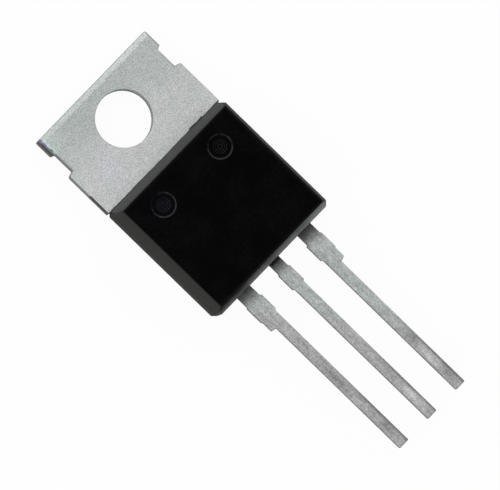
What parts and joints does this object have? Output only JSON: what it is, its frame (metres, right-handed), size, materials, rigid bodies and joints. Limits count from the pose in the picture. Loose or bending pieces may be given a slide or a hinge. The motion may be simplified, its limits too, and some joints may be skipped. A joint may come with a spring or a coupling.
{
  "type": "voltage regulator",
  "caption": "Linear voltage regulator in a flat moulded package, with a drilled metal fixing tab at one end and a row of flat leads at the other.",
  "frame": {"origin": "on the axis of the fixing hole, in the plane of the tab's back", "axes": "+Z out of the moulded front face, +Y towards the free end of the tab, +X to the right seen from the front; the leads run towards -Y"},
  "size_m": [0.01, 0.0294, 0.0045],
  "materials": {
    "moulded_epoxy": "fine matte black epoxy",
    "tinned_copper": "matte tin plate over copper",
    "silicon": "polished silicon",
    "solder": "dull solder",
    "bond_wire": "bright drawn wire"
  },
  "bodies": {
    "root": {"moulded_body": "moulded_epoxy", "tab_and_ground_lead": "tinned_copper", "input_lead": "tinned_copper", "output_lead": "tinned_copper", "silicon_chip": "silicon", "chip_solder": "solder", "input_wire": "bond_wire", "output_wire": "bond_wire", "sense_wire": "bond_wire", "ground_wire": "bond_wire"}
  },
  "joints": []
}
